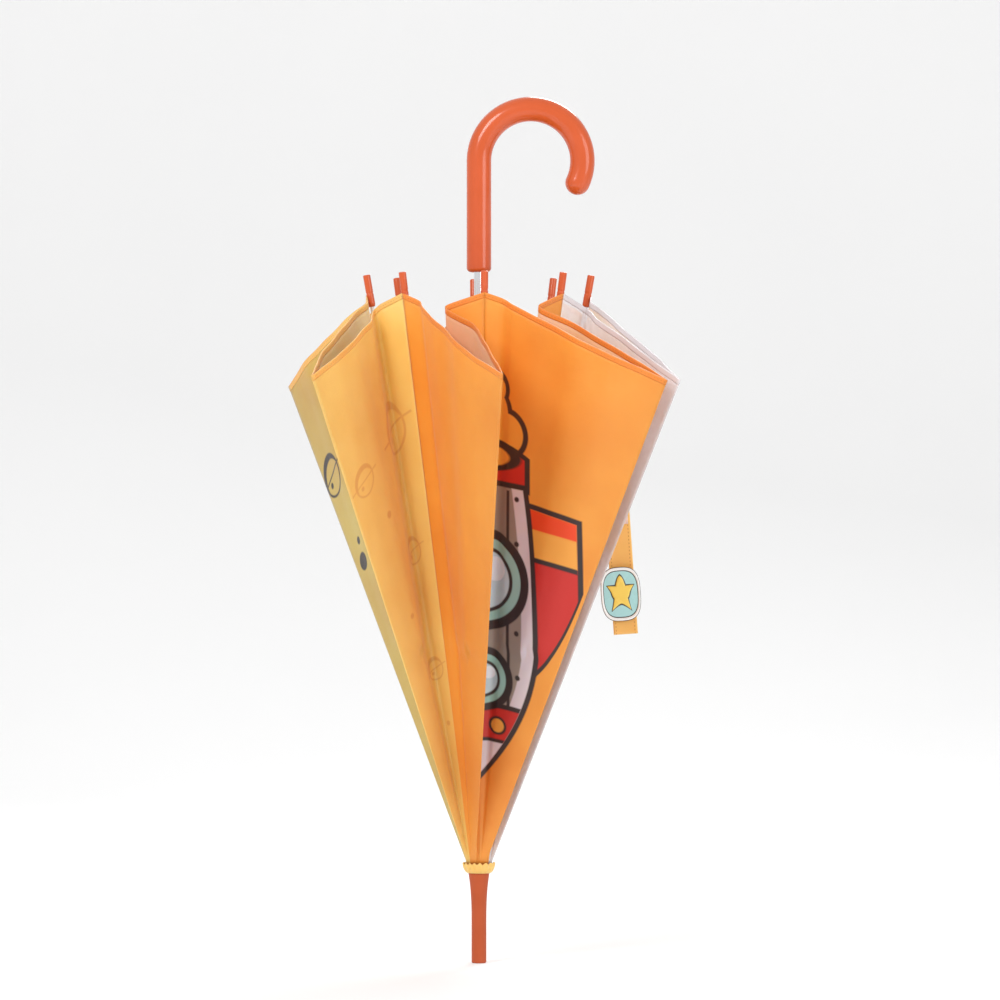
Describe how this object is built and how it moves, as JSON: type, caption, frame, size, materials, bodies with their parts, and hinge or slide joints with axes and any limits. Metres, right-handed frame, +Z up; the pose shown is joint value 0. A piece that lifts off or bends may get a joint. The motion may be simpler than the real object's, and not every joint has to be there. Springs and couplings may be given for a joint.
{
  "type": "children's umbrella",
  "caption": "Folded stick umbrella for a child: crook handle, chrome shaft, ribs with stretchers and a runner, panelled cloth canopy with one clear panel, strap and badge.",
  "frame": {"origin": "centre of the ferrule's end face, on the shaft's axis", "axes": "+Z up the shaft to the handle, +X to the side that the hook curls to, -Y to the front"},
  "size_m": [0.3146, 0.4071, 0.6998],
  "materials": {
    "handle_orange": "glossy moulded plastic",
    "ferrule_orange": "satin moulded plastic",
    "tip_orange": "glossy moulded plastic",
    "chrome": "polished",
    "steel": "plated wire",
    "rib_white": "gloss white",
    "nylon": "satin",
    "canopy_orange": "satin woven nylon",
    "canopy_yellow": "satin woven nylon",
    "window_film": "clear soft film",
    "strap_yellow": "satin woven nylon",
    "badge": "soft moulded plastic"
  },
  "bodies": {
    "frame": {"shaft_tube": "chrome", "handle": "handle_orange", "ferrule": "ferrule_orange", "crown": "nylon", "crown_wire": "steel", "rosette": "canopy_yellow"},
    "rib_1": {"rib_1": "rib_white", "tip_1": "tip_orange", "rivet_1": "steel"},
    "stretcher_1": {"stretcher_1": "steel"},
    "rib_2": {"rib_2": "rib_white", "tip_2": "tip_orange", "rivet_2": "steel"},
    "stretcher_2": {"stretcher_2": "steel"},
    "rib_3": {"rib_3": "rib_white", "tip_3": "tip_orange", "rivet_3": "steel"},
    "stretcher_3": {"stretcher_3": "steel"},
    "rib_4": {"rib_4": "rib_white", "tip_4": "tip_orange", "rivet_4": "steel"},
    "stretcher_4": {"stretcher_4": "steel"},
    "rib_5": {"rib_5": "rib_white", "tip_5": "tip_orange", "rivet_5": "steel"},
    "stretcher_5": {"stretcher_5": "steel"},
    "rib_6": {"rib_6": "rib_white", "tip_6": "tip_orange", "rivet_6": "steel"},
    "stretcher_6": {"stretcher_6": "steel"},
    "rib_7": {"rib_7": "rib_white", "tip_7": "tip_orange", "rivet_7": "steel"},
    "stretcher_7": {"stretcher_7": "steel"},
    "rib_8": {"rib_8": "rib_white", "tip_8": "tip_orange", "rivet_8": "steel"},
    "stretcher_8": {"stretcher_8": "steel"},
    "runner": {"runner": "nylon", "runner_wire": "steel"},
    "lower_catch": {"lower_catch": "steel"},
    "upper_catch": {"upper_catch": "steel"},
    "panel_1a": {"panel_1a": "canopy_orange"},
    "panel_1b": {"panel_1b": "canopy_orange"},
    "panel_2a": {"panel_2a": "window_film"},
    "panel_2b": {"panel_2b": "window_film"},
    "panel_3a": {"panel_3a": "canopy_yellow"},
    "panel_3b": {"panel_3b": "canopy_yellow"},
    "panel_4a": {"panel_4a": "canopy_orange"},
    "panel_4b": {"panel_4b": "canopy_orange"},
    "panel_5a": {"panel_5a": "canopy_orange"},
    "panel_5b": {"panel_5b": "canopy_orange"},
    "panel_6a": {"panel_6a": "canopy_yellow"},
    "panel_6b": {"panel_6b": "canopy_yellow"},
    "panel_7a": {"panel_7a": "canopy_yellow"},
    "panel_7b": {"panel_7b": "canopy_yellow"},
    "panel_8a": {"panel_8a": "canopy_orange"},
    "panel_8b": {"panel_8b": "canopy_orange"},
    "strap": {"strap": "strap_yellow", "badge": "badge"}
  },
  "joints": [
    {"name": "canopy_open", "type": "hinge", "parent": "frame", "child": "rib_1", "pos_m": [0.00034, -0.00649, 0.077], "axis": [0.9986, 0.0523, 0], "range_deg": [0, 60], "deforming": ["lower_catch", "upper_catch", "strap", "badge"]},
    {"name": "stretcher_1_fold", "type": "hinge", "parent": "rib_1", "child": "stretcher_1", "pos_m": [0.00222, -0.04239, 0.28086], "axis": [0.9986, 0.0523, 0], "range_deg": [-121, 1]},
    {"name": "rib_2_swing", "type": "hinge", "parent": "frame", "child": "rib_2", "pos_m": [0.00483, -0.00435, 0.077], "axis": [0.6691, 0.7431, 0], "range_deg": [-1, 61]},
    {"name": "stretcher_2_fold", "type": "hinge", "parent": "rib_2", "child": "stretcher_2", "pos_m": [0.03154, -0.0284, 0.28086], "axis": [0.6691, 0.7431, 0], "range_deg": [-121, 1]},
    {"name": "rib_3_swing", "type": "hinge", "parent": "frame", "child": "rib_3", "pos_m": [0.00649, 0.00034, 0.077], "axis": [-0.0523, 0.9986, 0], "range_deg": [-1, 61]},
    {"name": "stretcher_3_fold", "type": "hinge", "parent": "rib_3", "child": "stretcher_3", "pos_m": [0.04239, 0.00222, 0.28086], "axis": [-0.0523, 0.9986, 0], "range_deg": [-121, 1]},
    {"name": "rib_4_swing", "type": "hinge", "parent": "frame", "child": "rib_4", "pos_m": [0.00435, 0.00483, 0.077], "axis": [-0.7431, 0.6691, 0], "range_deg": [-1, 61]},
    {"name": "stretcher_4_fold", "type": "hinge", "parent": "rib_4", "child": "stretcher_4", "pos_m": [0.0284, 0.03154, 0.28086], "axis": [-0.7431, 0.6691, 0], "range_deg": [-121, 1]},
    {"name": "rib_5_swing", "type": "hinge", "parent": "frame", "child": "rib_5", "pos_m": [-0.00034, 0.00649, 0.077], "axis": [-0.9986, -0.0523, 0], "range_deg": [-1, 61]},
    {"name": "stretcher_5_fold", "type": "hinge", "parent": "rib_5", "child": "stretcher_5", "pos_m": [-0.00222, 0.04239, 0.28086], "axis": [-0.9986, -0.0523, 0], "range_deg": [-121, 1]},
    {"name": "rib_6_swing", "type": "hinge", "parent": "frame", "child": "rib_6", "pos_m": [-0.00483, 0.00435, 0.077], "axis": [-0.6691, -0.7431, 0], "range_deg": [-1, 61]},
    {"name": "stretcher_6_fold", "type": "hinge", "parent": "rib_6", "child": "stretcher_6", "pos_m": [-0.03154, 0.0284, 0.28086], "axis": [-0.6691, -0.7431, 0], "range_deg": [-121, 1]},
    {"name": "rib_7_swing", "type": "hinge", "parent": "frame", "child": "rib_7", "pos_m": [-0.00649, -0.00034, 0.077], "axis": [0.0523, -0.9986, 0], "range_deg": [-1, 61]},
    {"name": "stretcher_7_fold", "type": "hinge", "parent": "rib_7", "child": "stretcher_7", "pos_m": [-0.04239, -0.00222, 0.28086], "axis": [0.0523, -0.9986, 0], "range_deg": [-121, 1]},
    {"name": "rib_8_swing", "type": "hinge", "parent": "frame", "child": "rib_8", "pos_m": [-0.00435, -0.00483, 0.077], "axis": [0.7431, -0.6691, 0], "range_deg": [-1, 61]},
    {"name": "stretcher_8_fold", "type": "hinge", "parent": "rib_8", "child": "stretcher_8", "pos_m": [-0.0284, -0.03154, 0.28086], "axis": [0.7431, -0.6691, 0], "range_deg": [-121, 1]},
    {"name": "runner_pivot", "type": "hinge", "parent": "stretcher_1", "child": "runner", "pos_m": [0.00034, -0.00649, 0.48471], "axis": [0.9986, 0.0523, 0], "range_deg": [-1, 61]},
    {"name": "panel_1a_fold", "type": "hinge", "parent": "rib_1", "child": "panel_1a", "pos_m": [0.00494, -0.00867, 0.07549], "axis": [0.0261, -0.1701, 0.9851], "range_deg": [0, 39.4], "deforming": ["panel_1a"]},
    {"name": "panel_1b_fold", "type": "hinge", "parent": "rib_2", "child": "panel_1b", "pos_m": [0.00402, -0.00829, 0.07554], "axis": [0.0841, -0.1536, 0.9845], "range_deg": [-105.98, 0], "deforming": ["panel_1b"]},
    {"name": "panel_2a_fold", "type": "hinge", "parent": "rib_2", "child": "panel_2a", "pos_m": [0.00865, -0.00314, 0.07554], "axis": [0.1621, -0.0667, 0.9845], "range_deg": [0, 107.73], "deforming": ["panel_2a"]},
    {"name": "panel_2b_fold", "type": "hinge", "parent": "rib_3", "child": "panel_2b", "pos_m": [0.00916, -0.00405, 0.07548], "axis": [0.1718, -0.0093, 0.9851], "range_deg": [-38.11, 0], "deforming": ["panel_2b"]},
    {"name": "panel_3a_fold", "type": "hinge", "parent": "rib_3", "child": "panel_3a", "pos_m": [0.00864, 0.00485, 0.0755], "axis": [0.1705, 0.024, 0.9851], "range_deg": [0, 42.01], "deforming": ["panel_3a"]},
    {"name": "panel_3b_fold", "type": "hinge", "parent": "rib_4", "child": "panel_3b", "pos_m": [0.00831, 0.00401, 0.07554], "axis": [0.1521, 0.086, 0.9846], "range_deg": [-102.44, 0], "deforming": ["panel_3b"]},
    {"name": "panel_4a_fold", "type": "hinge", "parent": "rib_4", "child": "panel_4a", "pos_m": [0.00294, 0.00902, 0.07555], "axis": [0.109, 0.1339, 0.985], "range_deg": [0, 68.18], "deforming": ["panel_4a"]},
    {"name": "panel_4b_fold", "type": "hinge", "parent": "rib_5", "child": "panel_4b", "pos_m": [0.00342, 0.00887, 0.07556], "axis": [-0.0028, 0.1729, 0.9849], "range_deg": [-66.46, 0], "deforming": ["panel_4b"]},
    {"name": "panel_5a_fold", "type": "hinge", "parent": "rib_5", "child": "panel_5a", "pos_m": [-0.0043, 0.00846, 0.07555], "axis": [-0.0176, 0.1718, 0.985], "range_deg": [0, 68.18], "deforming": ["panel_5a"]},
    {"name": "panel_5b_fold", "type": "hinge", "parent": "rib_6", "child": "panel_5b", "pos_m": [-0.00386, 0.00869, 0.07556], "axis": [-0.1242, 0.1202, 0.9849], "range_deg": [-66.46, 0], "deforming": ["panel_5b"]},
    {"name": "panel_6a_fold", "type": "hinge", "parent": "rib_6", "child": "panel_6a", "pos_m": [-0.00865, 0.00314, 0.07554], "axis": [-0.1621, 0.0667, 0.9845], "range_deg": [0, 107.73], "deforming": ["panel_6a"]},
    {"name": "panel_6b_fold", "type": "hinge", "parent": "rib_7", "child": "panel_6b", "pos_m": [-0.00916, 0.00405, 0.07548], "axis": [-0.1718, 0.0093, 0.9851], "range_deg": [-38.11, 0], "deforming": ["panel_6b"]},
    {"name": "panel_7a_fold", "type": "hinge", "parent": "rib_7", "child": "panel_7a", "pos_m": [-0.00876, -0.00522, 0.07545], "axis": [-0.1686, -0.0335, 0.9851], "range_deg": [0, 33.06], "deforming": ["panel_7a"]},
    {"name": "panel_7b_fold", "type": "hinge", "parent": "rib_8", "child": "panel_7b", "pos_m": [-0.00823, -0.00404, 0.07554], "axis": [-0.1565, -0.0805, 0.9844], "range_deg": [-114.62, 0], "deforming": ["panel_7b"]},
    {"name": "panel_8a_fold", "type": "hinge", "parent": "rib_8", "child": "panel_8a", "pos_m": [-0.00249, -0.00991, 0.07545], "axis": [-0.0947, -0.1435, 0.9851], "range_deg": [0, 32.44], "deforming": ["panel_8a"]},
    {"name": "panel_8b_fold", "type": "hinge", "parent": "rib_1", "child": "panel_8b", "pos_m": [-0.00296, -0.00868, 0.07554], "axis": [-0.0541, -0.1676, 0.9844], "range_deg": [-115.47, 0], "deforming": ["panel_8b"]},
    {"name": "lower_catch_press", "type": "slide", "parent": "frame", "child": "lower_catch", "axis": [-1, 0, 0], "range_m": [0, 0.0022], "stiffness_N_per_m": 400},
    {"name": "upper_catch_press", "type": "slide", "parent": "frame", "child": "upper_catch", "axis": [-1, 0, 0], "range_m": [0, 0.0022], "stiffness_N_per_m": 400},
    {"name": "strap_swing", "type": "hinge", "parent": "panel_3b", "child": "strap", "pos_m": [0.116, 0.1175, 0.386], "axis": [1, 0, 0], "range_deg": [-10, 70]}
  ],
  "couplings": [
    {"joint": "stretcher_1_fold", "follows": "canopy_open", "ratio": -2},
    {"joint": "rib_2_swing", "follows": "canopy_open", "ratio": 1},
    {"joint": "stretcher_2_fold", "follows": "canopy_open", "ratio": -2},
    {"joint": "rib_3_swing", "follows": "canopy_open", "ratio": 1},
    {"joint": "stretcher_3_fold", "follows": "canopy_open", "ratio": -2},
    {"joint": "rib_4_swing", "follows": "canopy_open", "ratio": 1},
    {"joint": "stretcher_4_fold", "follows": "canopy_open", "ratio": -2},
    {"joint": "rib_5_swing", "follows": "canopy_open", "ratio": 1},
    {"joint": "stretcher_5_fold", "follows": "canopy_open", "ratio": -2},
    {"joint": "rib_6_swing", "follows": "canopy_open", "ratio": 1},
    {"joint": "stretcher_6_fold", "follows": "canopy_open", "ratio": -2},
    {"joint": "rib_7_swing", "follows": "canopy_open", "ratio": 1},
    {"joint": "stretcher_7_fold", "follows": "canopy_open", "ratio": -2},
    {"joint": "rib_8_swing", "follows": "canopy_open", "ratio": 1},
    {"joint": "stretcher_8_fold", "follows": "canopy_open", "ratio": -2},
    {"joint": "runner_pivot", "follows": "canopy_open", "ratio": 1},
    {"joint": "panel_1a_fold", "follows": "canopy_open", "ratio": 0.64838},
    {"joint": "panel_1b_fold", "follows": "canopy_open", "ratio": -1.758},
    {"joint": "panel_2a_fold", "follows": "canopy_open", "ratio": 1.7872},
    {"joint": "panel_2b_fold", "follows": "canopy_open", "ratio": -0.6269},
    {"joint": "panel_3a_fold", "follows": "canopy_open", "ratio": 0.69175},
    {"joint": "panel_3b_fold", "follows": "canopy_open", "ratio": -1.6991},
    {"joint": "panel_4a_fold", "follows": "canopy_open", "ratio": 1.1281},
    {"joint": "panel_4b_fold", "follows": "canopy_open", "ratio": -1.0994},
    {"joint": "panel_5a_fold", "follows": "canopy_open", "ratio": 1.1281},
    {"joint": "panel_5b_fold", "follows": "canopy_open", "ratio": -1.0994},
    {"joint": "panel_6a_fold", "follows": "canopy_open", "ratio": 1.7872},
    {"joint": "panel_6b_fold", "follows": "canopy_open", "ratio": -0.6269},
    {"joint": "panel_7a_fold", "follows": "canopy_open", "ratio": 0.54268},
    {"joint": "panel_7b_fold", "follows": "canopy_open", "ratio": -1.902},
    {"joint": "panel_8a_fold", "follows": "canopy_open", "ratio": 0.53237},
    {"joint": "panel_8b_fold", "follows": "canopy_open", "ratio": -1.9161}
  ]
}
